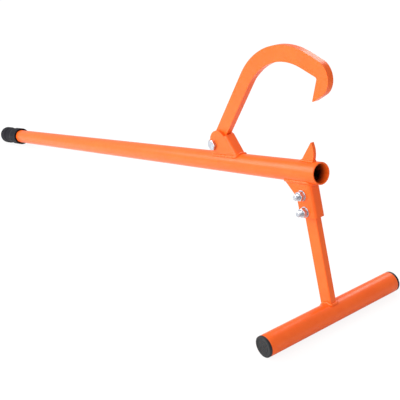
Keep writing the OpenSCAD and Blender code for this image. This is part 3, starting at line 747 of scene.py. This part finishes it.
fitted(fasteners("leg_nuts_m8", [moved_by(hex_head(6.5, m8_hex, 4.03, both_ends=True),
    Matrix.Translation((near_washer + m8_washer_t, 0, 0)))], leg_bolts_line, 2, down_leg, 0.25),
    "lifter", "zinc", "leg_nuts")

# Bar plugs: moulded black plastic, a flange as wide as the tube and a hollow shank
# with three ribs that grip the bore. The face is dished, with faint turning rings.


def moulded(name, shade, second, rough, grain, depth, shine):
    """Moulded skin: spark-eroded grain, clouds of gloss, and a paler tone along sharp edges.
    rough is the least and the most roughness, grain in pits a metre, and depth in mm."""
    made, tree = new_material(name)
    place = add_node(tree, "ShaderNodeTexCoord").outputs["Object"]
    pits = add_node(tree, "ShaderNodeTexVoronoi", {"Vector": place, "Scale": grain}).outputs["Distance"]
    cloud = noise(tree, 60.0, 4.0, 0.6)
    speck = noise(tree, 1100.0, 2.0, 0.7)
    base = blend_colours(tree, remap(tree, cloud, 0.35, 0.65, 0.0, 1.0), colour(shade), colour(second))
    base = blend_colours(tree, remap(tree, speck, 0.6, 0.8, 0.0, 0.3), base, colour("3E3D44"))
    # A little paler along sharp edges
    base = blend_colours(tree, remap(tree, edge_share(tree, 0.001), 0.0, 1.0, 0.0, 0.2), base,
        colour("4A484F"))
    bump = add_node(tree, "ShaderNodeBump", {"Height": maths(tree, "ADD", pits, speck),
        "Strength": 0.5, "Distance": depth / 1000}).outputs[0]
    shader = add_node(tree, "ShaderNodeBsdfPrincipled", {"Base Color": base,
        "Roughness": remap(tree, cloud, 0.3, 0.7, *rough), "Normal": bump,
        "Specular IOR Level": shine})
    add_node(tree, "ShaderNodeOutputMaterial", {"Surface": shader.outputs[0]})
    return made


plug_plastic = moulded("plug_plastic", "1D1E20", "252729", rough=(0.42, 0.55), grain=1400.0,
    depth=0.06, shine=0.3)


def plug_outline():
    """From the hollow of the shank round to the middle of the face, flange from x = 0 to 4."""
    flange_r = 15.95
    flange_t = 4.0
    shank_r = 13.05
    rib_r = 13.9
    outline = [(-3.8, 0), (-3.8, shank_r - 2.4), (-16, shank_r - 2.2), (-16, shank_r - 0.4),
        (-15.6, shank_r)]
    for at in (-12.8, -8.0, -3.2):
        outline += [(at - 0.3, shank_r), (at + 0.5, rib_r), (at + 0.9, rib_r), (at + 1.0, shank_r)]
    outline += [(0, shank_r), (0, flange_r - 0.3), (0.3, flange_r)]
    outline += arc(flange_t - 1.5, flange_r - 1.5, 1.5, 90, 0, 8)
    outline += [(flange_t, 13.2), (3.9, 12.9), (3.55, 12.5), (3.45, 12.2)]
    for ring in (9.4, 6.2, 3.0):
        outline += [(3.42, ring + 0.9), (3.28, ring + 0.6), (3.28, ring), (3.4, ring - 0.3)]
    return outline + [(3.38, 1.2), (3.38, 0)]


for node, side in (("bar_plug_left", 1), ("bar_plug_right", -1)):
    in_end = (Matrix.Translation((bar_x, side * bar_tube_len / 2, -bar_drop))
        @ Matrix.Rotation(side * pi / 2, 4, "Z"))
    plug = to_mesh(node, turned(plug_outline(), 96, closed=False), plug_plastic, turn=in_end)
    fitted(shown(node + "_moulded", plug), "lifter", "plug_plastic", node)

# Grip: one moulding of black rubber, pushed onto the tube with soapy water. It has a
# closed bulb for the palm, a slim middle and a lip, and a fine grained skin.
grip_rubber = moulded("grip_rubber", "0B0A11", "12111A", rough=(0.5, 0.66), grain=1300.0,
    depth=0.14, shine=0.15)
grip_r = 19.5
bulb_r = 21.0
lip_r = 20.9
bulb_end = 30.0
grip_len = 110.0
lip_start = grip_len - 34
slope_len = 10.0
end_round = 8.0
line_h = 0.1
line_half_w = 0.5


def eased_step(x, start, end, low, high):
    share = min(max((x - start) / (end - start), 0), 1)
    return low + (high - low) * share * share * (3 - 2 * share)


def grip_outline():
    """Round the grip's section, from the middle of the closed end to the bore's bottom."""
    outline = [(0, 0), (0, 4), (0, 9)] + arc(end_round, bulb_r - end_round, end_round, 180, 90, 14)
    for x in steps_between(end_round, grip_len - 1.6, 90)[1:-1]:
        r = eased_step(x, bulb_end, bulb_end + slope_len, bulb_r, grip_r)
        outline.append((x, max(r, eased_step(x, lip_start - slope_len, lip_start, grip_r, lip_r))))
    outline += arc(grip_len - 1.2, lip_r - 1.2, 1.2, 90, 0, 6)
    outline += arc(grip_len - 0.8, 18.6, 0.8, 0, -60, 4)
    return outline + [(grip_len - 2.4, 16.3), (grip_len - 6, 16.06), (grip_end + 0.5, 16.06),
        (grip_end, 15.5), (grip_end, 0)]


def parting_line(x, r, a):
    """Raises the mould's parting line along both sides of the grip, but not on the bulb."""
    off = abs((a + pi / 2) % pi - pi / 2) * r
    outside = 18.9 < r < bulb_r - line_h and 6 < x < grip_len - 2
    return x, r + line_h if outside and off < line_half_w else r


grip_mesh = to_mesh("handle_grip", turned(grip_outline(), 144, closed=False,
    radius=parting_line), grip_rubber, turn=Matrix.Translation((-handle_len, 0, 0)))
fitted(shown("handle_grip_rubber", grip_mesh), "lifter", "grip_rubber", "handle_grip")
